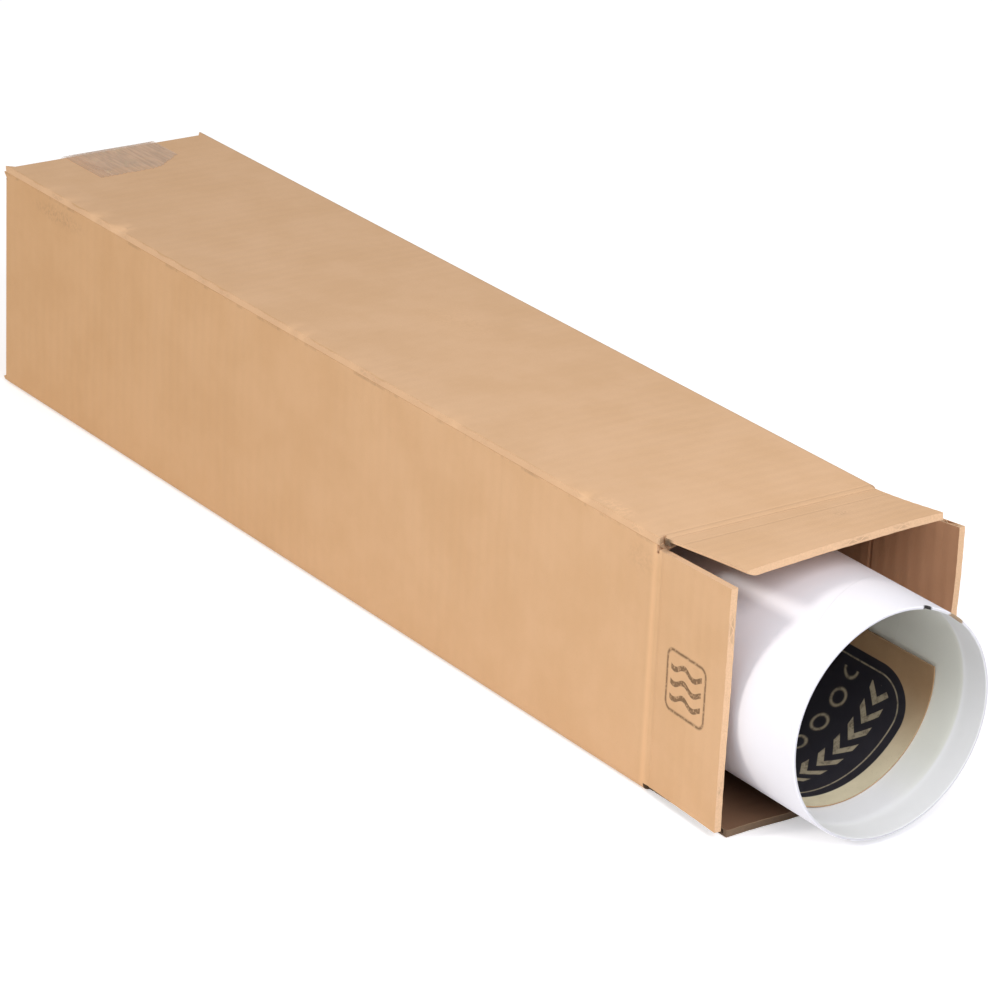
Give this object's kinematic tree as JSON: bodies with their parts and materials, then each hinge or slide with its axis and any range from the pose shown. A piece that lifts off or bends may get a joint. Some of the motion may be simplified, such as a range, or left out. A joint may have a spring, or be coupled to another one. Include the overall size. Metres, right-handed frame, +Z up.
{
  "type": "square mailing tube",
  "caption": "Long square corrugated carton, taped at its far end, with open hinged flaps and a white round postal tube holding a curled sheet drawn part of the way out.",
  "frame": {"origin": "on the supporting surface, under the middle of the whole object's box at rest", "axes": "+Y along the carton towards its closed end, open end and tube mouth at -Y, +X to the right seen from the open end, +Z up"},
  "size_m": [0.1108, 0.5784, 0.11],
  "materials": {
    "kraft_board": "matte brown kraft liner on corrugated board",
    "packing_tape": "thin translucent brown film, slightly glossy",
    "white_tube_board": "smooth white lined tube board",
    "kraft_paper": "matte kraft paper printed in black"
  },
  "bodies": {
    "carton": {"carton_body": "kraft_board", "closing_tape": "packing_tape", "inner_tube": "white_tube_board", "curled_sheet": "kraft_paper"},
    "top_flap": {"top_flap": "kraft_board"},
    "bottom_flap": {"bottom_flap": "kraft_board"},
    "left_flap": {"left_flap": "kraft_board"},
    "right_flap": {"right_flap": "kraft_board"}
  },
  "joints": [
    {"name": "top_flap_fold", "type": "hinge", "parent": "carton", "child": "top_flap", "pos_m": [0, -0.20917, 0.106], "axis": [-1, 0, 0], "range_deg": [-11, 163]},
    {"name": "bottom_flap_fold", "type": "hinge", "parent": "carton", "child": "bottom_flap", "pos_m": [0, -0.20917, 0], "axis": [1, 0, 0], "range_deg": [0, 168]},
    {"name": "left_flap_fold", "type": "hinge", "parent": "carton", "child": "left_flap", "pos_m": [-0.053, -0.20917, 0.053], "axis": [0, 0, -1], "range_deg": [-2.7, 165]},
    {"name": "right_flap_fold", "type": "hinge", "parent": "carton", "child": "right_flap", "pos_m": [0.053, -0.20917, 0.053], "axis": [0, 0, 1], "range_deg": [-2.7, 165]}
  ]
}
